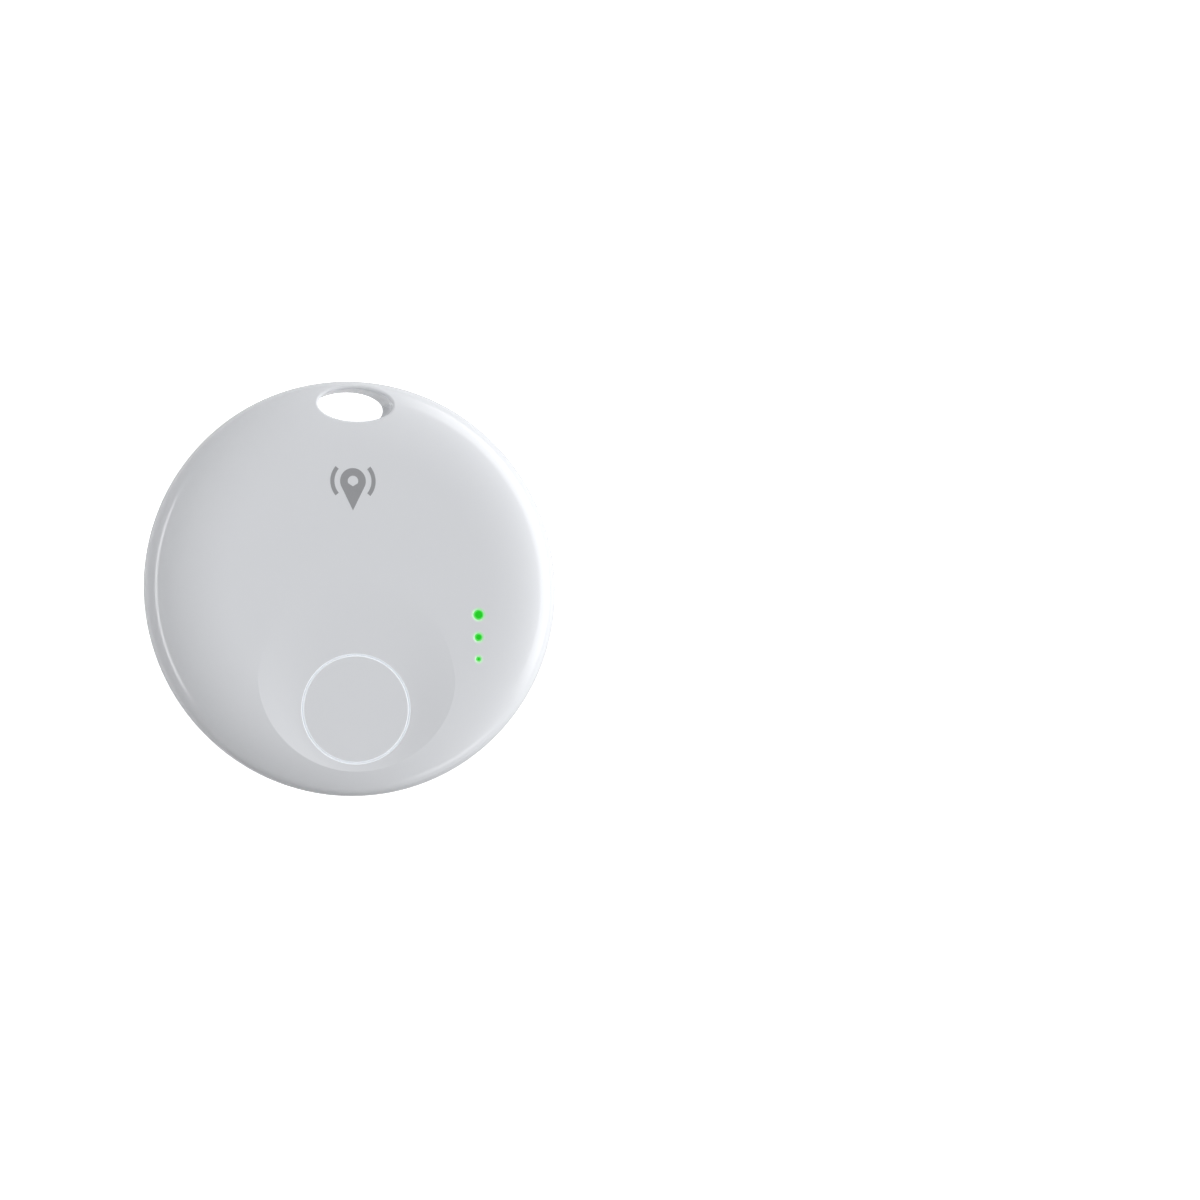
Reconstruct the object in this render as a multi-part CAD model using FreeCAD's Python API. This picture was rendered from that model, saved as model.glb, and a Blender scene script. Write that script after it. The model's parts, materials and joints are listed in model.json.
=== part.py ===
import FreeCAD, Part
import math
import os

from FreeCAD import Vector

# Round Bluetooth tracker tag. Millimetres. The tag lies on its back: +Z out of the
# front face, +Y towards the keyring hole. Origin: centre of the back face.

# ---- driving dimensions ----
BODY_R = 18.0            # outer radius
BODY_T = 7.1             # thickness
EQUATOR_Z = 3.78         # height of the widest circle
SEAM_Z = 3.42            # parting line between the two shells
SEAM_GAP = 0.02          # air between the mating rims
SEAM_GROOVE = 0.06       # depth of the bevelled line along the parting
FRONT_FLAT_R = 11.5      # the front face is flat inside this radius
REAR_FLAT_R = 10.0       # the back face is flat inside this radius

BUTTON_Y = -10.65        # button axis, on the Y axis
BUTTON_R = 4.64
BUTTON_CLEARANCE = 0.03
BUTTON_LIP = 0.09        # bevel on the button's edge and on the edge of its opening
DISH_FLOOR_Z = 6.60      # floor of the finger dish on the button axis, flush with the button
DISH_TILT = 3.2          # degrees by which that floor falls towards the rim
DISH_FLOOR_R = 4.78
DISH_SIDE_R = 9.0        # reach of the dish beside and below the button
DISH_TOP_R = 12.6        # reach of the dish towards the middle of the face
DISH_END_Z = 7.13        # height at which its wall runs out, just above the face
DISH_RINGS = 7
DISH_SPOKES = 32
BACKING_Z = 5.70         # underside of the skin round the button
FLANGE_R = 5.15          # button flange, held under the skin
FLANGE_Z = 5.42

HOLE_Y = 15.7            # keyring hole, an ellipse
HOLE_HALF_X = 3.25
HOLE_HALF_Y = 1.50
HOLE_WALL = 0.80
HOLE_EDGE_R = 0.22

NOTCH_ANGLE = 11.7       # pry notch, degrees from +X towards +Y
NOTCH_WIDTH = 6.4
NOTCH_FLOOR_R = 17.35
NOTCH_LOW_Z = 2.70
NOTCH_HIGH_Z = 4.28
NOTCH_BEVEL = 0.30

FLOOR_Z = 0.85           # inside of the rear shell
CEILING_Z = 6.25         # inside of the front shell
WALL_IN_R = 15.6         # inside of the rear shell's wall
FRONT_WALL_IN_R = 16.2   # inside of the front shell's wall, above the tongue
TONGUE_R = 16.50         # rear shell's tongue, outside
TONGUE_TOP_Z = 4.50
SOCKET_CLEARANCE = 0.08

PAD_T = 0.10
CELL_R = 10.0            # 2032 coin cell
CELL_T = 3.2
CELL_Z = FLOOR_Z + PAD_T + 0.03
CELL_TOP_Z = CELL_Z + CELL_T
CELL_WALL = 0.25
CELL_CAP_R = 8.9
CELL_MOUTH_R = 9.25
CELL_CLEARANCE = 0.15

BOARD_Z = 4.40
BOARD_T = 0.60
BOARD_TOP_Z = BOARD_Z + BOARD_T
BOARD_R = 14.6

FRAME_Z = 1.60
FRAME_R = 11.9
SCREW_CIRCLE_R = 13.25
SCREW_ANGLES = (45, 135, 225, 315)
EAR_R = 1.35
EAR_Z = 3.40
SCREW_R = 0.60
SCREW_HEAD_R = 1.15
SCREW_HEAD_T = 0.50
SCREW_TIP_Z = 5.90
BOSS_R = 1.35

SEAL_Z = 4.02
SEAL_R = 0.22
SEAL_GROOVE_DEPTH = 0.40

BUZZER_Y = 4.5
BUZZER_R = 6.0
BUZZER_TAPE_T = 0.20
BUZZER_PLATE_T = 0.10
BUZZER_CERAMIC_T = 0.10
BUZZER_CERAMIC_R = 4.3

SWITCH_BODY_TOP_Z = BOARD_TOP_Z + 0.35
PLUNGER_TOP_Z = BOARD_TOP_Z + 0.50
PLUNGER_R = 0.75
CLIP_WIDTH = 4.0         # positive contact

LIGHT_X = 10.65
# name, y, window radius, halo radius
LIGHTS = (
    ("upper", -2.40, 0.40, 0.62),
    ("middle", -4.35, 0.30, 0.50),
    ("lower", -6.25, 0.18, 0.36),
)
HALO_DEPTH = 0.06

UP = Vector(0, 0, 1)


# ---- helpers ----
def line(a, b):
    return Part.LineSegment(Vector(a[0], 0, a[1]), Vector(b[0], 0, b[1])).toShape()


def bezier(*poles):
    curve = Part.BezierCurve()
    curve.setPoles([Vector(r, 0, z) for r, z in poles])
    return curve.toShape()


def turned(edges, y=0.0):
    """Solid of revolution about a vertical axis at (0, y); edges are given as (r, z)."""
    face = Part.Face(Part.Wire(edges))
    solid = face.revolve(Vector(0, 0, 0), UP, 360)
    solid.translate(Vector(0, y, 0))
    return solid


def turned_polygon(points, y=0.0):
    closed = list(points) + [points[0]]
    return turned([line(a, b) for a, b in zip(closed, closed[1:])], y)


def disc(radius, low_z, high_z, x=0.0, y=0.0):
    return Part.makeCylinder(radius, high_z - low_z, Vector(x, y, low_z), UP)


def ring(outer, inner, low_z, high_z, x=0.0, y=0.0):
    return disc(outer, low_z, high_z, x, y).cut(disc(inner, low_z - 1, high_z + 1, x, y))


def block(size_x, size_y, low_z, high_z, x=0.0, y=0.0):
    """Box centred on (x, y)."""
    corner = Vector(x - size_x / 2, y - size_y / 2, low_z)
    return Part.makeBox(size_x, size_y, high_z - low_z, corner)


def ellipse_column(half_x, half_y, low_z, high_z, y):
    curve = Part.Ellipse(Vector(0, y, low_z), half_x, half_y)
    face = Part.Face(Part.Wire([curve.toShape()]))
    return face.extrude(Vector(0, 0, high_z - low_z))


def polar(radius, degrees):
    angle = math.radians(degrees)
    return radius * math.cos(angle), radius * math.sin(angle)


def joined(shapes):
    return shapes[0].multiFuse(shapes[1:]).removeSplitter()


def above(z):
    return block(60, 60, z, 20)


def below(z):
    return block(60, 60, -10, z)


# ---- the case's outer form ----
def tag_body():
    lower = bezier((REAR_FLAT_R, 0), (12.5, 0.15), (BODY_R, 0.30), (BODY_R, EQUATOR_Z))
    upper = bezier((BODY_R, EQUATOR_Z), (BODY_R, 5.18), (17.0, BODY_T), (FRONT_FLAT_R, BODY_T))
    return turned([
        line((0, 0), (REAR_FLAT_R, 0)),
        lower,
        upper,
        line((FRONT_FLAT_R, BODY_T), (0, BODY_T)),
        line((0, BODY_T), (0, 0)),
    ])


def cubic(t, p0, p1, p2, p3):
    """Point of a cubic Bezier with scalar poles."""
    u = 1 - t
    return u ** 3 * p0 + 3 * u * u * t * p1 + 3 * u * t * t * p2 + t ** 3 * p3


def mix(a, b, share):
    return a + (b - a) * share


def dish_floor_z(along):
    """Height of the dish's tilted floor at a distance from the button axis along +Y."""
    return DISH_FLOOR_Z + along * math.tan(math.radians(DISH_TILT))


def dish_ring(t):
    """Closed curve round the button at t of the way up the dish's wall.

    Beside and below the button the wall is short and meets the face at an edge. Towards
    the middle of the face it is longer and runs out almost flat.
    """
    points = []
    for spoke in range(DISH_SPOKES):
        angle = 2 * math.pi * spoke / DISH_SPOKES
        upward = max(0.0, math.sin(angle)) ** 2
        end = mix(DISH_SIDE_R, DISH_TOP_R, upward)
        near = mix(DISH_FLOOR_R, end, 0.12)
        far = mix(DISH_FLOOR_R, end, 0.55)
        foot_z = dish_floor_z(DISH_FLOOR_R * math.sin(angle))
        near_z = dish_floor_z(near * math.sin(angle))
        far_z = mix(foot_z, DISH_END_Z, mix(0.55, 0.90, upward))
        rho = cubic(t, DISH_FLOOR_R, near, far, end)
        z = cubic(t, foot_z, near_z, far_z, DISH_END_Z)
        points.append(Vector(rho * math.cos(angle), BUTTON_Y + rho * math.sin(angle), z))
    curve = Part.BSplineCurve()
    curve.interpolate(Points=points, PeriodicFlag=True)
    return Part.Wire([curve.toShape()])


def tilted(shape):
    """Turn a shape made about the button axis so that it stands square on the dish's floor."""
    shape.rotate(Vector(0, BUTTON_Y, DISH_FLOOR_Z), Vector(1, 0, 0), DISH_TILT)
    return shape


def dish_space():
    """Air in the finger dish: tilted flat floor round the button, S-curved wall, open above."""
    rings = [dish_ring(i / (DISH_RINGS - 1)) for i in range(DISH_RINGS)]
    bowl = Part.makeLoft(rings, True, False)
    mouth = Part.Face(rings[-1]).extrude(Vector(0, 0, 2))
    return [bowl, mouth]


def button_space():
    """Round opening for the button, with a bevelled lip."""
    radius = BUTTON_R + BUTTON_CLEARANCE
    well = disc(radius, BOARD_TOP_Z, BODY_T + 1, 0, BUTTON_Y)
    lip = Part.makeCone(radius - BUTTON_LIP, radius + 2 * BUTTON_LIP, 3 * BUTTON_LIP,
                        Vector(0, BUTTON_Y, DISH_FLOOR_Z - 2 * BUTTON_LIP), UP)
    return [well, tilted(lip)]


def seam_groove():
    """V-shaped line round the case, made by the bevels on the two mating rims."""
    outside = 1.0
    return turned_polygon([
        (BODY_R - SEAM_GROOVE, SEAM_Z),
        (BODY_R + outside, SEAM_Z - SEAM_GROOVE - outside),
        (BODY_R + outside, SEAM_Z + SEAM_GROOVE + outside),
    ])


def dish_backing():
    """Material kept behind the dish, so the front skin stays about as thick there."""
    return turned_polygon([
        (0, BACKING_Z), (5.9, BACKING_Z), (9.3, CEILING_Z + 0.05), (9.3, BODY_T + 1), (0, BODY_T + 1),
    ], BUTTON_Y)


def hole_collar(low_z, high_z):
    return ellipse_column(HOLE_HALF_X + HOLE_WALL, HOLE_HALF_Y + HOLE_WALL, low_z, high_z, HOLE_Y)


def hole_space():
    return ellipse_column(HOLE_HALF_X, HOLE_HALF_Y, -1, BODY_T + 1, HOLE_Y)


def notch_space():
    """Air in the pry notch: a bevelled pocket across the parting line."""
    mouth_r = BODY_R + 0.3
    sections = []
    for radius, grow in ((NOTCH_FLOOR_R, 0.0), (mouth_r, NOTCH_BEVEL)):
        half = NOTCH_WIDTH / 2 + grow
        low_z = NOTCH_LOW_Z - grow / 2
        high_z = NOTCH_HIGH_Z + grow / 2
        corners = [(-half, low_z), (half, low_z), (half, high_z), (-half, high_z)]
        points = [Vector(radius, y, z) for y, z in corners]
        sections.append(Part.makePolygon(points + [points[0]]))
    pocket = Part.makeLoft(sections, True, True)
    pocket.rotate(Vector(0, 0, 0), UP, NOTCH_ANGLE)
    return pocket


def round_hole_mouth(shell, mouth_is_high):
    """Round the keyring hole's edge where it meets the outside of the shell."""
    edges = []
    for edge in shell.Edges:
        box = edge.BoundBox
        wide = abs(box.XLength - 2 * HOLE_HALF_X) < 0.02
        tall = abs(box.YLength - 2 * HOLE_HALF_Y) < 0.02
        outside = box.ZMin > SEAM_Z + 0.5 if mouth_is_high else box.ZMax < SEAM_Z - 0.5
        if wide and tall and outside:
            edges.append(edge)
    return shell.makeFillet(HOLE_EDGE_R, edges)


# ---- shells ----
def screw_bosses():
    bosses = []
    for angle in SCREW_ANGLES:
        x, y = polar(SCREW_CIRCLE_R, angle)
        bosses.append(disc(BOSS_R, BOARD_TOP_Z + 0.01, CEILING_Z + 1, x, y))
    return bosses


def front_cavity():
    """Air inside the front shell, less the ribs, bosses and collar that stand in it."""
    socket_r = TONGUE_R + SOCKET_CLEARANCE
    step_z = TONGUE_TOP_Z + 0.10
    space = turned([
        line((0, SEAM_Z - 1), (socket_r, SEAM_Z - 1)),
        line((socket_r, SEAM_Z - 1), (socket_r, step_z)),
        line((socket_r, step_z), (FRONT_WALL_IN_R, step_z)),
        bezier((FRONT_WALL_IN_R, step_z), (FRONT_WALL_IN_R, 5.6), (15.2, CEILING_Z),
               (FRONT_FLAT_R, CEILING_Z)),
        line((FRONT_FLAT_R, CEILING_Z), (0, CEILING_Z)),
        line((0, CEILING_Z), (0, SEAM_Z - 1)),
    ])
    locator = ring(BUZZER_R + 0.5, BUZZER_R + 0.1, CEILING_Z - 0.3, CEILING_Z + 1, 0, BUZZER_Y)
    collar = hole_collar(0, BODY_T)
    space = space.cut([dish_backing(), collar, locator] + screw_bosses())
    button_pocket = disc(FLANGE_R + 0.15, BOARD_TOP_Z, BACKING_Z, 0, BUTTON_Y)
    return space.fuse(button_pocket)


def light_halo(y, halo_r, window_r):
    """Shallow countersink round a light window."""
    return Part.makeCone(window_r + 0.03, halo_r + 0.05, HALO_DEPTH + 0.02,
                         Vector(LIGHT_X, y, BODY_T - HALO_DEPTH), UP)


def front_shell():
    shell = tag_body().common(above(SEAM_Z + SEAM_GAP / 2)).cut(front_cavity())
    cutters = dish_space() + button_space() + [hole_space(), notch_space(), seam_groove()]
    for name, y, window_r, halo_r in LIGHTS:
        cutters.append(disc(window_r + 0.03, 5, BODY_T + 1, LIGHT_X, y))
        cutters.append(light_halo(y, halo_r, window_r))
    for angle in SCREW_ANGLES:
        x, y = polar(SCREW_CIRCLE_R, angle)
        cutters.append(disc(SCREW_R + 0.02, BOARD_TOP_Z - 1, SCREW_TIP_Z + 0.1, x, y))
    return round_hole_mouth(shell.cut(cutters), True)


def rear_cavity():
    """Air inside the rear shell and its tongue, less the keyring hole's collar."""
    space = turned([
        line((0, FLOOR_Z), (REAR_FLAT_R, FLOOR_Z)),
        bezier((REAR_FLAT_R, FLOOR_Z), (13.6, FLOOR_Z), (WALL_IN_R, 1.5), (WALL_IN_R, SEAM_Z)),
        line((WALL_IN_R, SEAM_Z), (WALL_IN_R, TONGUE_TOP_Z + 1)),
        line((WALL_IN_R, TONGUE_TOP_Z + 1), (0, TONGUE_TOP_Z + 1)),
        line((0, TONGUE_TOP_Z + 1), (0, FLOOR_Z)),
    ])
    return space.cut(hole_collar(0, SEAM_Z - SEAM_GAP / 2))


def collar_clearance(gap):
    """Room that the tongue and the seal leave round the front shell's collar."""
    grow = HOLE_WALL + gap
    low_z = SEAM_Z - SEAM_GAP / 2
    return ellipse_column(HOLE_HALF_X + grow, HOLE_HALF_Y + grow, low_z, TONGUE_TOP_Z + 1, HOLE_Y)


def rear_shell():
    cup = tag_body().common(below(SEAM_Z - SEAM_GAP / 2))
    tongue = disc(TONGUE_R, SEAM_Z - 1, TONGUE_TOP_Z)
    blank = cup.fuse(tongue)
    groove_r = TONGUE_R - SEAL_GROOVE_DEPTH
    groove = ring(TONGUE_R + 1, groove_r, SEAL_Z - 0.25, SEAL_Z + 0.25)
    cutters = [rear_cavity(), groove, collar_clearance(0.12), hole_space(), notch_space(), seam_groove()]
    return round_hole_mouth(blank.cut(cutters), False)


def case_seal():
    ring_r = TONGUE_R - SEAL_GROOVE_DEPTH + SEAL_R + 0.01
    torus = Part.makeTorus(ring_r, SEAL_R, Vector(0, 0, SEAL_Z), UP)
    return torus.cut(collar_clearance(0.2))


# ---- button and switch ----
def button_cap():
    under_z = 5.60
    skirt_r = 4.1
    flange_top_z = BACKING_Z - 0.05
    cap = turned_polygon([
        (0, under_z),
        (skirt_r, under_z),
        (skirt_r, FLANGE_Z),
        (FLANGE_R, FLANGE_Z),
        (FLANGE_R, flange_top_z),
        (BUTTON_R, flange_top_z),
        (BUTTON_R, BODY_T),
        (0, BODY_T),
    ], BUTTON_Y)
    pip = disc(0.6, PLUNGER_TOP_Z + 0.02, 5.7, 0, BUTTON_Y)
    outside_r = BUTTON_R + 2
    trim = tilted(turned_polygon([
        (0, DISH_FLOOR_Z),
        (BUTTON_R - BUTTON_LIP, DISH_FLOOR_Z),
        (BUTTON_R, DISH_FLOOR_Z - BUTTON_LIP),
        (BUTTON_R + 0.05, DISH_FLOOR_Z - BUTTON_LIP - 0.05),
        (outside_r, DISH_FLOOR_Z - BUTTON_LIP - 0.05),
        (outside_r, BODY_T + 1),
        (0, BODY_T + 1),
    ], BUTTON_Y))
    return joined([cap, pip]).cut(trim)


def switch_body():
    body = block(3.0, 2.6, BOARD_TOP_Z, SWITCH_BODY_TOP_Z, 0, BUTTON_Y)
    feet = [block(0.5, 0.6, BOARD_TOP_Z, BOARD_TOP_Z + 0.12, sx * 1.7, BUTTON_Y + sy * 0.85)
            for sx in (-1, 1) for sy in (-1, 1)]
    body = joined([body] + feet)
    return body.cut(disc(PLUNGER_R + 0.05, BOARD_TOP_Z + 0.05, BOARD_TOP_Z + 1, 0, BUTTON_Y))


def switch_plunger():
    return disc(PLUNGER_R, PLUNGER_TOP_Z - 0.22, PLUNGER_TOP_Z, 0, BUTTON_Y)


# ---- lights ----
def light_pipe(y, window_r):
    flange = disc(window_r + 0.35, CEILING_Z - 0.35, CEILING_Z - 0.06, LIGHT_X, y)
    pin = disc(window_r, BOARD_TOP_Z + 0.50, BODY_T - 0.03, LIGHT_X, y)
    return joined([pin, flange])


def status_leds():
    lamps = []
    for name, y, window_r, halo_r in LIGHTS:
        lamps.append(block(1.0, 0.6, BOARD_TOP_Z, BOARD_TOP_Z + 0.40, LIGHT_X, y))
    return Part.makeCompound(lamps)


# ---- board ----
def main_board():
    board = disc(BOARD_R, BOARD_Z, BOARD_TOP_Z)
    half_x = HOLE_HALF_X + HOLE_WALL + 0.35
    half_y = HOLE_HALF_Y + HOLE_WALL + 0.35
    cutters = [ellipse_column(half_x, half_y, BOARD_Z - 1, BOARD_TOP_Z + 1, HOLE_Y)]
    for angle in SCREW_ANGLES:
        x, y = polar(SCREW_CIRCLE_R, angle)
        cutters.append(disc(SCREW_R + 0.05, BOARD_Z - 1, BOARD_TOP_Z + 1, x, y))
    return board.cut(cutters)


def antenna_trace():
    """Meandered strip along the keyring side of the board."""
    low_z = BOARD_TOP_Z
    high_z = BOARD_TOP_Z + 0.04
    width = 0.4
    pitch = 1.0
    low_y = 11.2
    tall = 1.3
    strips = []
    columns = [(-4.5 + i * pitch) for i in range(10)]
    for x in columns:
        strips.append(block(width, tall + width, low_z, high_z, x, low_y + tall / 2))
    for i, x in enumerate(columns[:-1]):
        y = low_y + tall if i % 2 == 0 else low_y
        strips.append(block(pitch + width, width, low_z, high_z, x + pitch / 2, y))
    return joined(strips)


def bluetooth_chip():
    return block(5.0, 5.0, BOARD_TOP_Z, BOARD_TOP_Z + 0.60, -8.2, -3.6)


def main_crystal():
    return block(2.0, 1.6, BOARD_TOP_Z, BOARD_TOP_Z + 0.45, -11.8, -1.0)


def clock_crystal():
    return block(1.2, 2.0, BOARD_TOP_Z, BOARD_TOP_Z + 0.40, -12.6, -4.2)


def bulk_capacitor():
    return block(1.6, 3.2, BOARD_TOP_Z, BOARD_TOP_Z + 0.80, 7.9, -3.2)


def buzzer_inductor():
    coil = block(2.5, 2.0, BOARD_TOP_Z, BOARD_TOP_Z + 1.0, 9.2, 3.4)
    return coil.makeFillet(0.3, [e for e in coil.Edges if e.BoundBox.ZLength > 0.9])


def passives():
    places = []
    places += [(-8.2 + dx, 0.1) for dx in (-2.0, 0.0, 2.0)]
    places += [(-4.8, -2.4 - dy) for dy in (0.0, 1.4, 2.8)]
    places += [(-12.1, 2.2 + dy) for dy in (0.0, 1.3, 2.6)]
    places += [(12.2, 1.0 + dy) for dy in (0.0, 1.3, 2.6, 3.9)]
    places += [(12.7, -2.4), (12.7, -4.35), (12.7, -6.25)]
    chips = [block(1.0, 0.5, BOARD_TOP_Z, BOARD_TOP_Z + 0.35, x, y) for x, y in places]
    return Part.makeCompound(chips)


# ---- buzzer ----
def buzzer_adhesive():
    return ring(BUZZER_R, BUZZER_R - 0.8, CEILING_Z - BUZZER_TAPE_T, CEILING_Z, 0, BUZZER_Y)


def buzzer_plate():
    top_z = CEILING_Z - BUZZER_TAPE_T
    return disc(BUZZER_R, top_z - BUZZER_PLATE_T, top_z, 0, BUZZER_Y)


def buzzer_ceramic():
    top_z = CEILING_Z - BUZZER_TAPE_T - BUZZER_PLATE_T
    return disc(BUZZER_CERAMIC_R, top_z - BUZZER_CERAMIC_T, top_z, 0, BUZZER_Y)


def leaf_spring(x, y, contact_z):
    """Folded strip that stands on the board and presses up on the sounder."""
    t = 0.12
    width = 1.0
    foot = block(2.2, width, BOARD_TOP_Z, BOARD_TOP_Z + t, x, y)
    riser = block(t, width, BOARD_TOP_Z, contact_z, x - 1.04, y)
    arm = block(1.8, width, contact_z - t, contact_z, x - 0.2, y)
    return joined([foot, riser, arm])


def buzzer_springs():
    plate_low_z = CEILING_Z - BUZZER_TAPE_T - BUZZER_PLATE_T
    ceramic_low_z = plate_low_z - BUZZER_CERAMIC_T
    return Part.makeCompound([
        leaf_spring(0.3, BUZZER_Y, ceramic_low_z),
        leaf_spring(0.3, BUZZER_Y + 5.1, plate_low_z),
    ])


# ---- coin cell ----
def battery_can():
    """Cup with a rolled lip, open at the top round the gasket."""
    return turned([
        line((0, CELL_Z), (CELL_R - 0.3, CELL_Z)),
        line((CELL_R - 0.3, CELL_Z), (CELL_R, CELL_Z + 0.3)),
        line((CELL_R, CELL_Z + 0.3), (CELL_R, CELL_TOP_Z - 0.6)),
        line((CELL_R, CELL_TOP_Z - 0.6), (CELL_MOUTH_R + 0.25, CELL_TOP_Z - 0.12)),
        line((CELL_MOUTH_R + 0.25, CELL_TOP_Z - 0.12), (CELL_MOUTH_R, CELL_TOP_Z - 0.30)),
        line((CELL_MOUTH_R, CELL_TOP_Z - 0.30), (CELL_R - CELL_WALL, CELL_TOP_Z - 0.75)),
        line((CELL_R - CELL_WALL, CELL_TOP_Z - 0.75), (CELL_R - CELL_WALL, CELL_Z + CELL_WALL)),
        line((CELL_R - CELL_WALL, CELL_Z + CELL_WALL), (0, CELL_Z + CELL_WALL)),
        line((0, CELL_Z + CELL_WALL), (0, CELL_Z)),
    ])


def battery_gasket():
    return turned_polygon([
        (CELL_CAP_R + 0.02, CELL_TOP_Z - 0.15),
        (CELL_MOUTH_R - 0.02, CELL_TOP_Z - 0.32),
        (CELL_R - CELL_WALL - 0.02, CELL_TOP_Z - 0.80),
        (CELL_R - CELL_WALL - 0.02, CELL_Z + CELL_WALL + 0.01),
        (CELL_R - CELL_WALL - 0.45, CELL_Z + CELL_WALL + 0.01),
        (CELL_R - CELL_WALL - 0.45, CELL_TOP_Z - 1.0),
        (CELL_CAP_R + 0.02, CELL_TOP_Z - 0.55),
    ])


def battery_cap():
    return turned_polygon([
        (0, CELL_TOP_Z),
        (CELL_CAP_R - 0.35, CELL_TOP_Z),
        (CELL_CAP_R, CELL_TOP_Z - 0.30),
        (CELL_CAP_R, CELL_TOP_Z - 0.57),
        (CELL_CAP_R - 0.25, CELL_TOP_Z - 0.57),
        (CELL_CAP_R - 0.25, CELL_TOP_Z - 0.40),
        (CELL_CAP_R - 0.45, CELL_TOP_Z - 0.25),
        (0, CELL_TOP_Z - 0.25),
    ])


def battery_core():
    return turned_polygon([
        (0, CELL_Z + CELL_WALL + 0.01),
        (CELL_R - CELL_WALL - 0.47, CELL_Z + CELL_WALL + 0.01),
        (CELL_R - CELL_WALL - 0.47, CELL_TOP_Z - 1.05),
        (CELL_CAP_R - 0.5, CELL_TOP_Z - 0.60),
        (CELL_CAP_R - 0.5, CELL_TOP_Z - 0.27),
        (0, CELL_TOP_Z - 0.27),
    ])


# ---- cell holder ----
def battery_frame():
    hoop = ring(FRAME_R, CELL_R + CELL_CLEARANCE, FRAME_Z, BOARD_Z)
    parts = [hoop]
    for angle in SCREW_ANGLES:
        x, y = polar(SCREW_CIRCLE_R, angle)
        parts.append(disc(EAR_R, EAR_Z, BOARD_Z, x, y))
        arm = block(3.0, 2 * EAR_R, EAR_Z, BOARD_Z, 11.75, 0)
        arm.rotate(Vector(0, 0, 0), UP, angle)
        parts.append(arm)
    frame = joined(parts)
    cutters = []
    for angle in SCREW_ANGLES:
        x, y = polar(SCREW_CIRCLE_R, angle)
        cutters.append(disc(SCREW_R + 0.05, EAR_Z - 1, BOARD_Z + 1, x, y))
    cutters.append(disc(CELL_R + CELL_CLEARANCE, FRAME_Z - 1, BOARD_Z + 1))
    cutters.append(block(1.6, CLIP_WIDTH + 0.3, FRAME_Z - 1, BOARD_Z + 1, -(CELL_R + 0.7), 0))
    return frame.cut(cutters)


def negative_contact():
    """Thin cross under the board, with a dimple at the end of each arm."""
    sheet_z = BOARD_Z - 0.12
    arms = [
        block(9.0, 2.0, sheet_z, BOARD_Z),
        block(2.0, 9.0, sheet_z, BOARD_Z),
    ]
    dimples = []
    for angle in (0, 90, 180, 270):
        x, y = polar(3.8, angle)
        dimples.append(disc(0.5, CELL_TOP_Z + 0.02, BOARD_Z - 0.05, x, y))
    return joined(arms + dimples)


def positive_contact():
    """Angle clip: foot soldered under the board, leaf down the side of the cell."""
    sheet = 0.15
    leaf_x = -(CELL_R + 0.12)
    leaf_low_z = 2.2
    leaf_height = BOARD_Z - leaf_low_z
    leaf = Part.makeBox(sheet, CLIP_WIDTH, leaf_height,
                        Vector(leaf_x - sheet, -CLIP_WIDTH / 2, leaf_low_z))
    foot = Part.makeBox(1.3, CLIP_WIDTH, sheet, Vector(leaf_x - 1.3, -CLIP_WIDTH / 2, BOARD_Z - sheet))
    return joined([leaf, foot])


def frame_screws():
    screws = []
    for angle in SCREW_ANGLES:
        x, y = polar(SCREW_CIRCLE_R, angle)
        head = disc(SCREW_HEAD_R, EAR_Z - SCREW_HEAD_T, EAR_Z, x, y)
        shank = disc(SCREW_R, EAR_Z - 0.1, SCREW_TIP_Z, x, y)
        cross = block(1.3, 0.3, EAR_Z - SCREW_HEAD_T - 1, EAR_Z - SCREW_HEAD_T + 0.25, x, y)
        bar = block(0.3, 1.3, EAR_Z - SCREW_HEAD_T - 1, EAR_Z - SCREW_HEAD_T + 0.25, x, y)
        screws.append(joined([head, shank]).cut([cross, bar]))
    return Part.makeCompound(screws)


def battery_pad():
    return disc(7.0, FLOOR_Z, FLOOR_Z + PAD_T)


def export(name, shape):
    shape.exportStep("parts/%s.step" % name)
    box = shape.BoundBox
    print("%-18s valid=%s solids=%d vol=%.3f z %.2f..%.2f" % (
        name, shape.isValid(), len(shape.Solids), shape.Volume, box.ZMin, box.ZMax))


def main():
    os.makedirs("parts", exist_ok=True)
    makers = (
        front_shell, rear_shell, case_seal, button_cap, switch_body, switch_plunger, status_leds,
        main_board, antenna_trace, bluetooth_chip, main_crystal, clock_crystal, bulk_capacitor,
        buzzer_inductor, passives, buzzer_adhesive, buzzer_plate, buzzer_ceramic, buzzer_springs,
        battery_can, battery_gasket, battery_cap, battery_core, battery_frame, negative_contact,
        positive_contact, frame_screws, battery_pad,
    )
    for maker in makers:
        export(maker.__name__, maker())
    for name, y, window_r, halo_r in LIGHTS:
        export("light_pipe_" + name, light_pipe(y, window_r))


main()
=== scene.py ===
import json
import math

import bmesh
import bpy
from mathutils import Matrix, Vector


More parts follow.
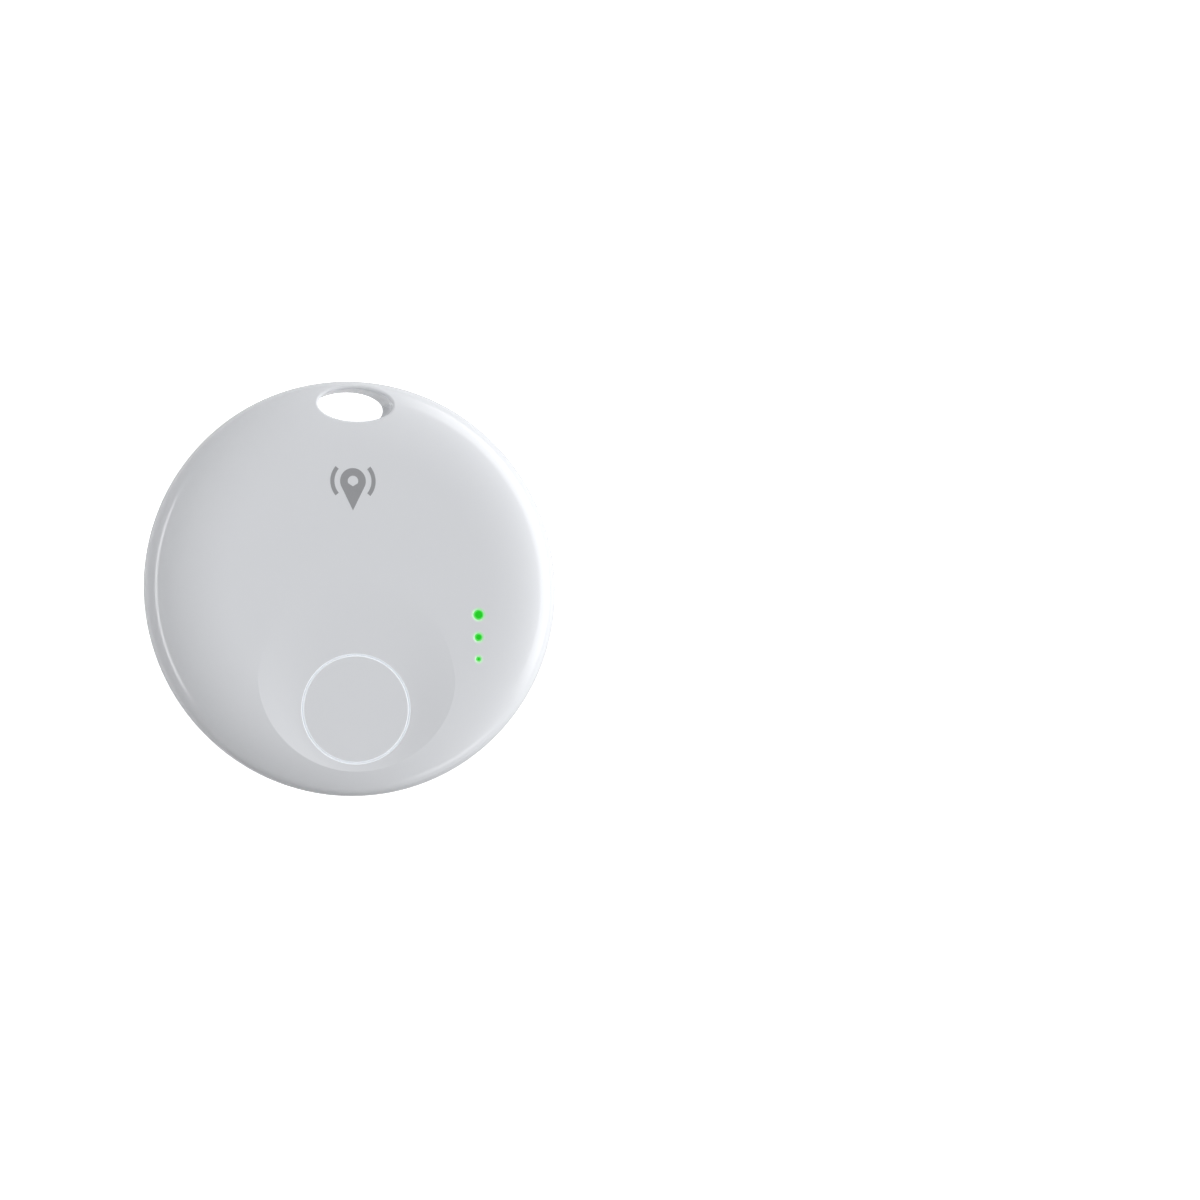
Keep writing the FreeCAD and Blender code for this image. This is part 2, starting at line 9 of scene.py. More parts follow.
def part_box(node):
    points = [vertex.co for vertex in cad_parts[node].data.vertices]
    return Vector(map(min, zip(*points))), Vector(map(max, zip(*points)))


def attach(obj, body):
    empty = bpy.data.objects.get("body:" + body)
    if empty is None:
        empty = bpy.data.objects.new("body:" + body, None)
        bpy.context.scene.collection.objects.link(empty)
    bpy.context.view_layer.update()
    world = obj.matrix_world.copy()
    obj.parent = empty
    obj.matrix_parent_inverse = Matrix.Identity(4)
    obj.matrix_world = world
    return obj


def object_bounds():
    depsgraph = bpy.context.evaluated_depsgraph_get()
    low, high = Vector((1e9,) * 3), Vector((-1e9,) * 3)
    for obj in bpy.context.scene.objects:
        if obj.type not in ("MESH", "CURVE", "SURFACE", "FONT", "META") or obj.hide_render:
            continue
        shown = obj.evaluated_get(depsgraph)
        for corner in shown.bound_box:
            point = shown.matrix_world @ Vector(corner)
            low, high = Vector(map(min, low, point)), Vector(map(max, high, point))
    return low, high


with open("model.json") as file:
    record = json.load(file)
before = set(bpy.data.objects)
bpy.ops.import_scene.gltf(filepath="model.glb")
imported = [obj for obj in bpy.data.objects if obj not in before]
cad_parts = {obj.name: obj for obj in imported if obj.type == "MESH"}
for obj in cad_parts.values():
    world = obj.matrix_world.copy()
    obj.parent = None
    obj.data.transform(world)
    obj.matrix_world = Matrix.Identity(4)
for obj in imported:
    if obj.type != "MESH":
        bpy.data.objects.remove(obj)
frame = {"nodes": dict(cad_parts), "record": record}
cad_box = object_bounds()

# Round tracker tag lying on its back: +Z out of the front face, +Y towards the keyring hole.
MM = 0.001
FACE_Z = cad_box[1].z
WIDEST_Z = 3.78 * MM

scene = bpy.context.scene


def middle(node):
    low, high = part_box(node)
    return (Vector(low) + Vector(high)) / 2


# ---- node helpers ----
def add(tree, kind, **values):
    node = tree.nodes.new(kind)
    for key, value in values.items():
        setattr(node, key, value)
    return node


def new_material(name):
    material = bpy.data.materials.new(name)
    material.use_nodes = True
    tree = material.node_tree
    tree.nodes.clear()
    shader = add(tree, "ShaderNodeBsdfPrincipled")
    output = add(tree, "ShaderNodeOutputMaterial")
    tree.links.new(shader.outputs["BSDF"], output.inputs["Surface"])
    return material, tree, shader


def feed(tree, socket, value):
    if isinstance(value, bpy.types.NodeSocket):
        tree.links.new(value, socket)
    else:
        socket.default_value = value


def maths(tree, operation, *values):
    node = add(tree, "ShaderNodeMath", operation=operation)
    for socket, value in zip(node.inputs, values):
        feed(tree, socket, value)
    return node.outputs[0]


def spread(tree, source, start, end, low=0.0, high=1.0, soft=False):
    """Map source from start..end to low..high, clamped."""
    node = add(tree, "ShaderNodeMapRange", interpolation_type="SMOOTHSTEP" if soft else "LINEAR")
    feed(tree, node.inputs["Value"], source)
    for name, value in zip(("From Min", "From Max", "To Min", "To Max"), (start, end, low, high)):
        node.inputs[name].default_value = value
    return node.outputs["Result"]


def place(tree):
    return add(tree, "ShaderNodeTexCoord").outputs["Object"]


def xyz(tree, vector):
    split = add(tree, "ShaderNodeSeparateXYZ")
    tree.links.new(vector, split.inputs["Vector"])
    return split.outputs["X"], split.outputs["Y"], split.outputs["Z"]


def reach(tree, x, y):
    """Distance from the vertical line through (x, y)."""
    across, along, up = xyz(tree, place(tree))
    dx = maths(tree, "SUBTRACT", across, x)
    dy = maths(tree, "SUBTRACT", along, y)
    squares = [maths(tree, "MULTIPLY", d, d) for d in (dx, dy)]
    return maths(tree, "SQRT", maths(tree, "ADD", *squares))


def noise(tree, grain, detail=4.0, stretch=(1.0, 1.0, 1.0)):
    """Cloudy noise whose blobs are about grain metres across."""
    scale = add(tree, "ShaderNodeMapping")
    scale.inputs["Scale"].default_value = stretch
    tree.links.new(place(tree), scale.inputs["Vector"])
    node = add(tree, "ShaderNodeTexNoise")
    node.inputs["Scale"].default_value = 1.0 / grain
    node.inputs["Detail"].default_value = detail
    tree.links.new(scale.outputs["Vector"], node.inputs["Vector"])
    return node.outputs["Fac"]


def cells(tree, grain, feature="F1"):
    node = add(tree, "ShaderNodeTexVoronoi", feature=feature)
    node.inputs["Scale"].default_value = 1.0 / grain
    tree.links.new(place(tree), node.inputs["Vector"])
    return node.outputs["Distance"]


def blend(tree, share, low, high):
    """Colour from low to high by share; each is a colour or a socket."""
    node = add(tree, "ShaderNodeMix", data_type="RGBA")
    feed(tree, node.inputs["Factor"], share)
    for socket, value in ((node.inputs[6], low), (node.inputs[7], high)):
        feed(tree, socket, (*value, 1.0) if isinstance(value, tuple) else value)
    return node.outputs[2]


def bump(tree, shader, source, depth):
    node = add(tree, "ShaderNodeBump")
    node.inputs["Distance"].default_value = depth
    tree.links.new(source, node.inputs["Height"])
    tree.links.new(node.outputs["Normal"], shader.inputs["Normal"])


# ---- masks: where on the case a finish changes or light is painted ----
INNER_WALL_R = 16.3 * MM     # inside of the case's wall
INNER_LOW_Z = 0.9 * MM       # floor of the rear half's inside
INNER_HIGH_Z = 6.26 * MM     # ceiling of the front half's inside
SHOULDER_Z = 5.4 * MM        # above this height the outside of the case draws in over the wall
SHOULDER_IN = 0.7 * MM       # how far it has drawn in at the ceiling's height
MASK_EDGE = 0.1 * MM         # width of a mask's edge
PIPE_FLANGE = 0.35 * MM      # how far a light pipe's flange stands out past its window
BUTTON_FLANGE = 0.51 * MM    # how far the button's flange stands out past its rim
LIP_HALF_WIDTH = 0.13 * MM   # half the width of the painted highlight ring round the button
LIP_BLUR = 0.02 * MM
GLOW_NEAR = 0.08 * MM        # the windows' painted glow is full up to here from their edge
GLOW_FAR = 0.30 * MM         # and gone from here on
FACE_LAYER = 0.4 * MM        # the glow stays this near the front face's height
LIGHT_NODES = ("light_pipe_upper", "light_pipe_middle", "light_pipe_lower")


def painted_ring_highlight(tree):
    """1 on the bevelled lips of the button and its opening, where a ring of painted highlight goes: whiter
    colour and a little emission.
    """
    low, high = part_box("button_cap")
    centre = middle("button_cap")
    rim = (high[0] - low[0]) / 2 - BUTTON_FLANGE
    off = maths(tree, "ABSOLUTE", maths(tree, "SUBTRACT", reach(tree, centre.x, centre.y), rim))
    lip = spread(tree, off, LIP_HALF_WIDTH - LIP_BLUR, LIP_HALF_WIDTH + LIP_BLUR, 1.0, 0.0, soft=True)
    across, along, up = xyz(tree, place(tree))
    return maths(tree, "MULTIPLY", lip, spread(tree, up, low[2], low[2] + MASK_EDGE))


def window_gap(tree, node):
    """Distance outside a light pipe's round window, negative inside it."""
    low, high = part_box(node)
    centre = middle(node)
    window = (high[0] - low[0]) / 2 - PIPE_FLANGE
    return maths(tree, "SUBTRACT", reach(tree, centre.x, centre.y), window)


def painted_window_glow(tree):
    """Painted glow: the green light from the windows is painted into the white plastic round them, as a pale
    green colour and green emission.
    """
    total = 0.0
    for node in LIGHT_NODES:
        leak = spread(tree, window_gap(tree, node), GLOW_NEAR, GLOW_FAR, 1.0, 0.0, soft=True)
        total = maths(tree, "ADD", leak, total)
    across, along, up = xyz(tree, place(tree))
    at_face = spread(tree, up, FACE_Z - FACE_LAYER, FACE_Z - FACE_LAYER + MASK_EDGE)
    return maths(tree, "MULTIPLY", total, at_face)


def inside_case(tree):
    """1 on the walls that face the inside of the case, which are textured."""
    across, along, up = xyz(tree, place(tree))
    drawn_in = spread(tree, up, SHOULDER_Z, INNER_HIGH_Z, 0.0, SHOULDER_IN)
    off_axis = maths(tree, "ADD", reach(tree, 0.0, 0.0), drawn_in)
    near = spread(tree, off_axis, INNER_WALL_R, INNER_WALL_R + MASK_EDGE, 1.0, 0.0)
    low = spread(tree, up, INNER_LOW_Z - MASK_EDGE, INNER_LOW_Z - MASK_EDGE / 5)
    high = spread(tree, up, INNER_HIGH_Z, INNER_HIGH_Z + MASK_EDGE / 2, 1.0, 0.0)
    return maths(tree, "MULTIPLY", near, maths(tree, "MULTIPLY", low, high))


# ---- materials ----
BLACK = (0.0, 0.0, 0.0)
SHELL_DARK = (0.786, 0.799, 0.822)
SHELL_LIGHT = (0.800, 0.812, 0.834)
# painted highlight: whiter base colour on the ring round the button
RING_PAINTED_HIGHLIGHT = (0.93, 0.95, 0.975)
RING_PAINTED_GLOW = (0.105, 0.115, 0.125)      # painted highlight: emission on the ring round the button
# painted glow round the windows: pale green base colour and green emission
PAINTED_GLOW_TINT = (0.70, 0.86, 0.71)
PAINTED_GLOW_LIGHT = (0.0, 0.18, 0.0)
PEEL_SHARE = 0.06                     # height of the orange peel beside the spark texture's
SPARK_DEPTH = 0.008 * MM
SPARK_ROUGHNESS = 0.35
LAMP_DEEP = ((0.004, 0.28, 0.006), (0.008, 0.34, 0.010))
LAMP_LIGHT = ((0.001, 0.31, 0.002), (0.003, 0.37, 0.004))
LAMP_RIM = (0.20, 0.60, 0.21)
INK_DARK = (0.325, 0.328, 0.342)
INK_LIGHT = (0.355, 0.358, 0.372)


def shell_material(name, gloss_low, gloss_high):
    """Glossy cool-white ABS with a faint orange peel; spark-textured inside."""
    material, tree, shader = new_material(name)
    cloud = noise(tree, 6 * MM)
    inner = inside_case(tree)
    white = blend(tree, cloud, SHELL_DARK, SHELL_LIGHT)
    # painted highlight: the ring round the button is whitened in colour and given emission
    rim = painted_ring_highlight(tree)
    white = blend(tree, rim, white, RING_PAINTED_HIGHLIGHT)
    # painted glow round the three windows, in colour and in emission
    glow = painted_window_glow(tree)
    white = blend(tree, glow, white, PAINTED_GLOW_TINT)
    tree.links.new(white, shader.inputs["Base Color"])
    lit = blend(tree, glow, BLACK, PAINTED_GLOW_LIGHT)
    lit = blend(tree, rim, lit, RING_PAINTED_GLOW)
    tree.links.new(lit, shader.inputs["Emission Color"])
    shader.inputs["Emission Strength"].default_value = 1.0
    gloss = spread(tree, noise(tree, 2.5 * MM), 0.3, 0.7, gloss_low, gloss_high)
    gloss = maths(tree, "ADD", gloss, maths(tree, "MULTIPLY", inner, SPARK_ROUGHNESS))
    tree.links.new(gloss, shader.inputs["Roughness"])
    peel = maths(tree, "MULTIPLY", noise(tree, 0.9 * MM, 1.0), PEEL_SHARE)
    spark = maths(tree, "MULTIPLY", noise(tree, 0.09 * MM), inner)
    bump(tree, shader, maths(tree, "ADD", peel, spark), SPARK_DEPTH)
    shader.inputs["IOR"].default_value = 1.5
    return material


def lamp_material(name):
    """Clear green light pipe, lit from below: deep green in its middle, paler at its rim."""
    material, tree, shader = new_material(name)
    cloud = noise(tree, 0.3 * MM)
    edge = 0.0
    for node in LIGHT_NODES:
        near_rim = spread(tree, window_gap(tree, node), -0.12 * MM, 0.0, soft=True)
        mine = spread(tree, window_gap(tree, node), 0.4 * MM, 0.5 * MM, 1.0, 0.0)
        edge = maths(tree, "ADD", maths(tree, "MULTIPLY", near_rim, mine), edge)
    deep = blend(tree, cloud, *LAMP_DEEP)
    tree.links.new(blend(tree, edge, deep, LAMP_RIM), shader.inputs["Base Color"])
    tree.links.new(blend(tree, cloud, *LAMP_LIGHT), shader.inputs["Emission Color"])
    shader.inputs["Emission Strength"].default_value = 1.0
    shader.inputs["Roughness"].default_value = 0.2
    shader.inputs["Specular IOR Level"].default_value = 0.2
    return material


def ink_material(name):
    """Pad-printed grey ink with the slight mottle of a printed film."""
    material, tree, shader = new_material(name)
    mottle = noise(tree, 0.15 * MM)
    tree.links.new(blend(tree, mottle, INK_DARK, INK_LIGHT), shader.inputs["Base Color"])
    tree.links.new(spread(tree, mottle, 0.3, 0.7, 0.28, 0.40), shader.inputs["Roughness"])
    return material


def moulded(name, low, high, rough_low, rough_high, grain, depth):
    """Moulded or pressed matter: cloudy colour, uneven sheen and a fine grain."""
    material, tree, shader = new_material(name)
    cloud = noise(tree, grain * 8)
    tree.links.new(blend(tree, cloud, low, high), shader.inputs["Base Color"])
    tree.links.new(spread(tree, cloud, 0.3, 0.7, rough_low, rough_high), shader.inputs["Roughness"])
    bump(tree, shader, noise(tree, grain), depth)
    return material


def foam(name, low, high, grain, depth):
    """Closed-cell foam: packed round cells."""
    material, tree, shader = new_material(name)
    pores = cells(tree, grain)
    tree.links.new(blend(tree, spread(tree, pores, 0.1, 0.7), low, high), shader.inputs["Base Color"])
    shader.inputs["Roughness"].default_value = 0.95
    bump(tree, shader, pores, depth)
    return material


def rolled_metal(name, low, high, rough_low, rough_high, grain, stretch):
    """Sheet metal with fine rolling lines along one axis and faint smudges."""
    material, tree, shader = new_material(name)
    lines = noise(tree, grain, 3.0, stretch)
    smudge = noise(tree, 2.0 * MM)
    tree.links.new(blend(tree, smudge, low, high), shader.inputs["Base Color"])
    sheen = maths(tree, "MULTIPLY", maths(tree, "ADD", lines, smudge), 0.5)
    tree.links.new(spread(tree, sheen, 0.3, 0.7, rough_low, rough_high), shader.inputs["Roughness"])
    shader.inputs["Metallic"].default_value = 1.0
    bump(tree, shader, lines, 0.0008 * MM)
    return material


def turned_metal(name, low, high, rough_low, rough_high):
    """Pressed nickel plate with concentric turning lines round the cell's axis."""
    material, tree, shader = new_material(name)
    rings = add(tree, "ShaderNodeTexNoise", noise_dimensions="1D")
    rings.inputs["Scale"].default_value = 1.0 / (0.05 * MM)
    rings.inputs["Detail"].default_value = 4.0
    across, along, up = xyz(tree, place(tree))
    tree.links.new(maths(tree, "ADD", reach(tree, 0.0, 0.0), up), rings.inputs["W"])
    smudge = noise(tree, 3.0 * MM)
    tree.links.new(blend(tree, smudge, low, high), shader.inputs["Base Color"])
    tree.links.new(spread(tree, smudge, 0.3, 0.7, rough_low, rough_high), shader.inputs["Roughness"])
    shader.inputs["Metallic"].default_value = 1.0
    bump(tree, shader, rings.outputs["Fac"], 0.0015 * MM)
    return material


def board_material(name):
    """Green solder mask over copper tracks, with tan glass epoxy showing at the board's edges."""
    material, tree, shader = new_material(name)
    tracks = add(tree, "ShaderNodeTexBrick", offset=0.35, squash=0.6)
    tracks.inputs["Scale"].default_value = 1.0 / (1.3 * MM)
    tracks.inputs["Mortar Size"].default_value = 0.06
    tracks.inputs["Mortar Smooth"].default_value = 0.2
    tree.links.new(place(tree), tracks.inputs["Vector"])
    copper = tracks.outputs["Fac"]
    vias = spread(tree, cells(tree, 1.9 * MM), 0.10, 0.14, 1.0, 0.0)
    cloud = noise(tree, 1.0 * MM)
    mask = blend(tree, cloud, (0.012, 0.130, 0.052), (0.020, 0.165, 0.066))
    mask = blend(tree, maths(tree, "MULTIPLY", copper, 0.6), mask, (0.045, 0.260, 0.105))
    mask = blend(tree, vias, mask, (0.62, 0.50, 0.28))
    normal = add(tree, "ShaderNodeNewGeometry").outputs["Normal"]
    lean = maths(tree, "ABSOLUTE", xyz(tree, normal)[2])
    side = spread(tree, lean, 0.3, 0.6, 1.0, 0.0)
    weave = noise(tree, 0.12 * MM, 3.0, (0.2, 0.2, 1.0))
    epoxy = blend(tree, weave, (0.36, 0.31, 0.17), (0.50, 0.44, 0.26))
    tree.links.new(blend(tree, side, mask, epoxy), shader.inputs["Base Color"])
    tree.links.new(spread(tree, side, 0.0, 1.0, 0.28, 0.8), shader.inputs["Roughness"])
    bump(tree, shader, maths(tree, "ADD", copper, cloud), 0.012 * MM)
    return material


def make_materials():
    """One material for each of the record's slots."""
    return {
        "shell_white": shell_material("glossy_white_abs", 0.05, 0.08),
        "button_white": shell_material("satin_white_abs", 0.12, 0.16),
        "status_green": lamp_material("lit_green_pipe"),
        "print_grey": ink_material("grey_print"),
        "seal_rubber": moulded("silicone_rubber", (0.035, 0.035, 0.038), (0.055, 0.055, 0.06), 0.5, 0.65,
                               0.05 * MM, 0.003 * MM),
        "pad_foam": foam("closed_cell_foam", (0.05, 0.05, 0.055), (0.15, 0.15, 0.16), 0.22 * MM, 0.05 * MM),
        "cell_steel": turned_metal("nickel_plate", (0.60, 0.60, 0.59), (0.72, 0.71, 0.69), 0.20, 0.32),
        "cell_gasket": moulded("grey_nylon", (0.16, 0.16, 0.17), (0.22, 0.22, 0.23), 0.4, 0.55,
                               0.06 * MM, 0.003 * MM),
        "cell_core": moulded("pressed_powder", (0.04, 0.04, 0.04), (0.10, 0.10, 0.10), 0.8, 0.95,
                             0.05 * MM, 0.02 * MM),
        "frame_black": moulded("textured_nylon", (0.022, 0.022, 0.024), (0.038, 0.038, 0.041), 0.42, 0.58,
                               0.07 * MM, 0.010 * MM),
        "board_green": board_material("solder_mask"),
        "trace_gold": rolled_metal("gold_plate", (0.80, 0.58, 0.24), (0.90, 0.68, 0.32), 0.22, 0.38,
                                   0.08 * MM, (1.0, 1.0, 1.0)),
        "chip_black": moulded("epoxy_package", (0.022, 0.022, 0.022), (0.036, 0.036, 0.036), 0.45, 0.6,
                              0.04 * MM, 0.004 * MM),
        "crystal_metal": rolled_metal("lidded_can", (0.70, 0.68, 0.62), (0.80, 0.78, 0.72), 0.25, 0.4,
                                      0.05 * MM, (1.0, 0.1, 1.0)),
        "chip_tan": moulded("sintered_chip", (0.36, 0.26, 0.17), (0.50, 0.38, 0.26), 0.5, 0.7,
                            0.05 * MM, 0.004 * MM),
        "coil_grey": moulded("moulded_ferrite", (0.09, 0.09, 0.10), (0.14, 0.14, 0.15), 0.6, 0.8,
                             0.06 * MM, 0.008 * MM),
        "led_clear": moulded("clear_epoxy", (0.50, 0.80, 0.45), (0.60, 0.88, 0.55), 0.08, 0.15,
                             0.1 * MM, 0.001 * MM),
        "contact_steel": rolled_metal("spring_sheet", (0.66, 0.65, 0.62), (0.76, 0.75, 0.72), 0.2, 0.35,
                                      0.04 * MM, (0.08, 1.0, 1.0)),
        "sounder_brass": rolled_metal("rolled_brass", (0.72, 0.54, 0.24), (0.82, 0.64, 0.31), 0.2, 0.36,
                                      0.05 * MM, (0.06, 1.0, 1.0)),
        "sounder_ceramic": moulded("silvered_ceramic", (0.70, 0.68, 0.61), (0.80, 0.78, 0.71), 0.4, 0.55,
                                   0.06 * MM, 0.004 * MM),
        "tape_grey": foam("foam_tape", (0.26, 0.26, 0.27), (0.40, 0.40, 0.41), 0.12 * MM, 0.02 * MM),
        "screw_steel": rolled_metal("zinc_plate", (0.52, 0.52, 0.53), (0.64, 0.64, 0.65), 0.25, 0.42,
                                    0.06 * MM, (1.0, 1.0, 0.3)),
    }


def dress(node, material):
    mesh = frame["nodes"][node].data
    mesh.materials.clear()
    mesh.materials.append(material)


def dress_nodes(materials):
    for part in frame["record"]["subparts"]:
        dress(part["node"], materials[part["material_slot"]])


# ---- printed mark ----
MARK_X = -0.35 * MM
MARK_Y = 8.45 * MM
INK_T = 0.012 * MM           # half of it sunk into the face
PIN_R = 1.12 * MM
PIN_DROP = 2.55 * MM         # from the head's centre down to the point
PIN_HOLE_R = 0.46 * MM
PIN_STEPS = 48
PIN_LIFT = 0.55 * MM         # the head's centre above the mark's
SIGNAL_R = (1.62 * MM, 1.98 * MM)
SIGNAL_HALF_ANGLE = 40.0
SIGNAL_STEPS = 20


def arc(centre_x, centre_y, radius, start, end, steps):
    points = []
    for i in range(steps + 1):
        angle = math.radians(start + (end - start) * i / steps)
        points.append((centre_x + radius * math.cos(angle), centre_y + radius * math.sin(angle)))
    return points


def film(build, outer, inner=()):
    """Thin printed film inside the closed outline, less an opening of as many points."""
    rows = []
    for outline in (outer, inner):
        for z in (FACE_Z + INK_T / 2, FACE_Z - INK_T / 2):
            rows.append([build.verts.new((MARK_X + x, MARK_Y + y, z)) for x, y in outline])
    outer_top, outer_low, inner_top, inner_low = rows
    if not inner:
        build.faces.new(outer_top)
        build.faces.new(list(reversed(outer_low)))
    for i in range(len(outer)):
        j = (i + 1) % len(outer)
        build.faces.new((outer_low[i], outer_low[j], outer_top[j], outer_top[i]))
        if inner:
            build.faces.new((outer_top[i], outer_top[j], inner_top[j], inner_top[i]))
            build.faces.new((inner_top[i], inner_top[j], inner_low[j], inner_low[i]))
            build.faces.new((inner_low[i], inner_low[j], outer_low[j], outer_low[i]))


def pin_outline(radius, drop, steps):
    """Map pin: round head at the origin, with straight sides down to a point at -drop."""
    touch = math.degrees(math.asin(radius / drop))
    return arc(0.0, 0.0, radius, -touch, 180.0 + touch, steps - 1) + [(0.0, -drop)]


def make_mark(materials):
    """Generic finder sign: a map pin with a signal arc on each side."""
    build = bmesh.new()
    pin = pin_outline(PIN_R, PIN_DROP, PIN_STEPS)
    hole = []
    for x, y in pin:
        angle = math.atan2(y, x)
        hole.append((PIN_HOLE_R * math.cos(angle), PIN_HOLE_R * math.sin(angle)))
    film(build, [(x, y + PIN_LIFT) for x, y in pin], [(x, y + PIN_LIFT) for x, y in hole])
    inner_r, outer_r = SIGNAL_R
    for facing in (0.0, 180.0):
        start = facing - SIGNAL_HALF_ANGLE
        end = facing + SIGNAL_HALF_ANGLE
        near = arc(0.0, PIN_LIFT, inner_r, start, end, SIGNAL_STEPS)
        far = arc(0.0, PIN_LIFT, outer_r, end, start, SIGNAL_STEPS)
        film(build, far + near)
    mesh = bpy.data.meshes.new("face_mark")
    bmesh.ops.recalc_face_normals(build, faces=build.faces)
    build.to_mesh(mesh)
    build.free()
    mark = bpy.data.objects.new("face_mark", mesh)
    scene.collection.objects.link(mark)
    mesh.materials.append(materials["print_grey"])
    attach(mark, "front_half")


# ---- studio ----
CAMERA_LENS = 200.0
CAMERA_SENSOR = 36.0
FRAME_WIDTH = 103.9 * MM         # width of the picture at the tag
VIEW_YAW = math.radians(9.6)     # camera left of the face's normal
VIEW_PITCH = math.radians(5.0)   # camera below it
TAG_OFFSET = Vector((-21.6 * MM, 1.0 * MM))   # the tag's place in the picture, from its centre

STAGE_R = 1.5                    # backdrop's radius in metres, with the camera inside it

# middle azimuth from +X, half width, lowest and highest edge, edge softness (degrees), radiance
PANELS = (
    (22.0, 40.0, -8.0, 27.0, 4.0, 2.5),
    (180.0, 33.0, 4.5, 15.0, 2.0, 4.7),
    (-48.0, 14.0, -6.0, 8.0, 3.0, 1.8),
)


PANEL_SIDE_BLUR = 10.0           # softness of the panels' left and right edges, degrees

WALL_LEVELS = (0.15, 0.82)       # radiance of the walls at -X and at +X
WALL_SKEW = 0.2                  # how much the bright side leans towards +Y
CEILING_EXTRA = 0.36             # added towards the ceiling
CEILING_EDGE = (35.0, 75.0)      # elevations between which it comes in
GROUND_LEVELS = (0.05, 0.75)     # radiance of the ground behind the viewer and beyond the tag
GROUND_EDGE = (-0.65, -0.15)     # parts of the Y direction between which it changes
GROUND_TOP = (-40.0, -22.0)      # elevations between which the ground gives way to the walls
STUDIO_WHITE = (0.985, 0.99, 1.0, 1.0)
LIGHT_MAP_SIZE = 1024


def make_camera():
    """Long lens, aimed beside the tag so that the tag lies left of the picture's centre."""
    data = bpy.data.cameras.new("camera")
    data.lens = CAMERA_LENS
    data.sensor_width = CAMERA_SENSOR
    data.clip_start = 0.01
    data.clip_end = 100.0
    distance = FRAME_WIDTH * CAMERA_LENS / CAMERA_SENSOR
    towards = Vector((-math.sin(VIEW_YAW), -math.sin(VIEW_PITCH), 0.0))
    towards.z = math.sqrt(1.0 - towards.length_squared)
    target = Vector((0.0, 0.0, WIDEST_Z))
    right = Vector((0.0, 1.0, 0.0)).cross(towards).normalized()
    up = towards.cross(right)
    eye = target + towards * distance
    aim = target - right * TAG_OFFSET.x - up * TAG_OFFSET.y
    back = (eye - aim).normalized()
    side = up.cross(back).normalized()
    top = back.cross(side)
    camera = bpy.data.objects.new("camera", data)
    rows = [(side[i], top[i], back[i], eye[i]) for i in range(3)]
    camera.matrix_world = Matrix(rows + [(0, 0, 0, 1)])
    scene.collection.objects.link(camera)
    scene.camera = camera


def panel(tree, azimuth, height, middle_azimuth, half_width, low, high, soft, radiance):
    """A soft-edged lit panel on the studio's wall."""
    turned = maths(tree, "WRAP", maths(tree, "SUBTRACT", azimuth, middle_azimuth), 180.0, -180.0)
    away = maths(tree, "ABSOLUTE", turned)
    edge_in = half_width - PANEL_SIDE_BLUR
    edge_out = half_width + PANEL_SIDE_BLUR
    across = spread(tree, away, edge_in, edge_out, 1.0, 0.0, soft=True)
    bottom = spread(tree, height, low - soft, low + soft, soft=True)
    top = spread(tree, height, high - soft, high + soft, 1.0, 0.0, soft=True)
    share = maths(tree, "MULTIPLY", across, maths(tree, "MULTIPLY", bottom, top))
    return maths(tree, "MULTIPLY", share, radiance)


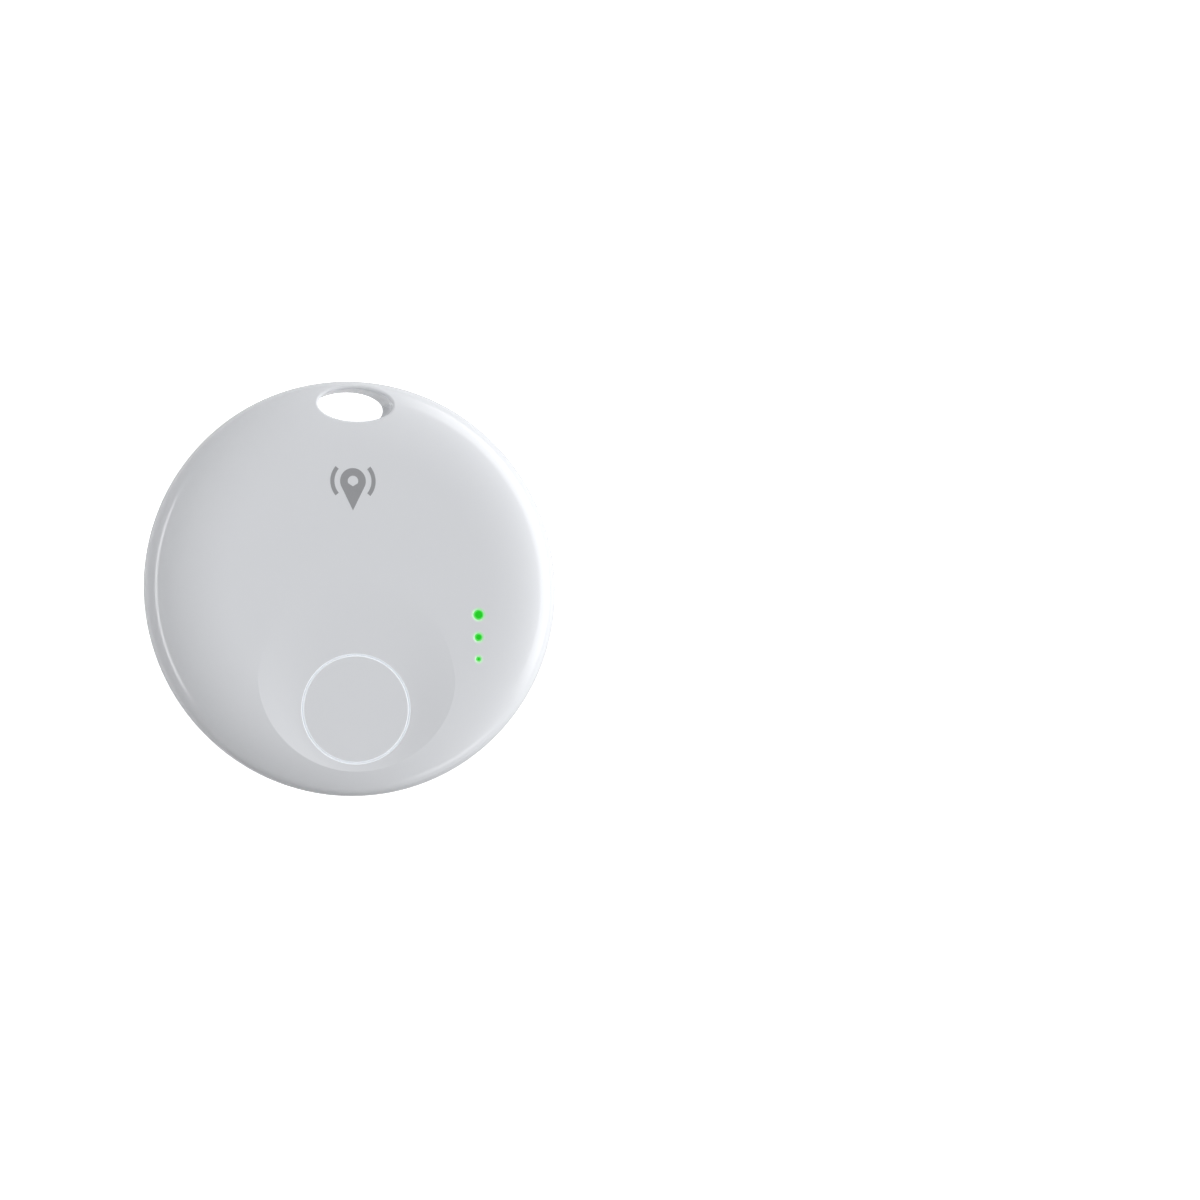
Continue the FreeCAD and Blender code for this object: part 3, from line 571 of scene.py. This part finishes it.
def make_world():
    """Soft studio: pale walls, brighter on the right, with the panels on them."""
    world = bpy.data.worlds.new("studio")
    world.use_nodes = True
    tree = world.node_tree
    tree.nodes.clear()
    direction = add(tree, "ShaderNodeTexCoord").outputs["Generated"]
    x, y, z = xyz(tree, direction)
    azimuth = maths(tree, "DEGREES", maths(tree, "ARCTAN2", y, x))
    height = maths(tree, "DEGREES", maths(tree, "ARCSINE", z))
    rightward = maths(tree, "ADD", x, maths(tree, "MULTIPLY", y, WALL_SKEW))
    walls = spread(tree, rightward, -1.0, 1.0, *WALL_LEVELS, soft=True)
    walls = maths(tree, "ADD", walls, spread(tree, height, *CEILING_EDGE, 0.0, CEILING_EXTRA, soft=True))
    ground = spread(tree, y, *GROUND_EDGE, *GROUND_LEVELS, soft=True)
    below = spread(tree, height, *GROUND_TOP, 1.0, 0.0, soft=True)
    level = maths(tree, "ADD", walls, maths(tree, "MULTIPLY", below, maths(tree, "SUBTRACT", ground, walls)))
    for values in PANELS:
        level = maths(tree, "ADD", level, panel(tree, azimuth, height, *values))
    back = add(tree, "ShaderNodeBackground")
    back.inputs["Color"].default_value = STUDIO_WHITE
    tree.links.new(level, back.inputs["Strength"])
    output = add(tree, "ShaderNodeOutputWorld")
    tree.links.new(back.outputs["Background"], output.inputs["Surface"])
    world.cycles.sampling_method = "MANUAL"
    world.cycles.sample_map_resolution = LIGHT_MAP_SIZE
    scene.world = world


def only_seen_directly(thing):
    """Stage pieces show white to the camera and take no part in the lighting."""
    thing.visible_glossy = False
    thing.visible_diffuse = False
    thing.visible_transmission = False
    thing.visible_shadow = False


def stage_material(name, white, shine):
    material, tree, shader = new_material(name)
    shader.inputs["Base Color"].default_value = (white, white, white, 1.0)
    shader.inputs["Roughness"].default_value = 1.0
    shader.inputs["Specular IOR Level"].default_value = 0.0
    shader.inputs["Emission Color"].default_value = (1.0, 1.0, 1.0, 1.0)
    shader.inputs["Emission Strength"].default_value = shine
    return material


def make_stage():
    """Pale floor under the tag and a white backdrop all round."""
    corners = [(x * STAGE_R, y * STAGE_R, 0.0) for x, y in ((-1, -1), (1, -1), (1, 1), (-1, 1))]
    mesh = bpy.data.meshes.new("floor")
    mesh.from_pydata(corners, [], [(0, 1, 2, 3)])
    mesh.materials.append(stage_material("floor_white", 0.9, 0.78))
    floor = bpy.data.objects.new("floor", mesh)
    scene.collection.objects.link(floor)
    only_seen_directly(floor)
    build = bmesh.new()
    bmesh.ops.create_icosphere(build, subdivisions=4, radius=STAGE_R)
    mesh = bpy.data.meshes.new("backdrop")
    build.to_mesh(mesh)
    build.free()
    mesh.materials.append(stage_material("backdrop_white", 0.0, 1.2))
    backdrop = bpy.data.objects.new("backdrop", mesh)
    scene.collection.objects.link(backdrop)
    only_seen_directly(backdrop)


make_camera()
make_world()
make_stage()
slot_materials = make_materials()
dress_nodes(slot_materials)
make_mark(slot_materials)
scene.view_settings.view_transform = "Standard"
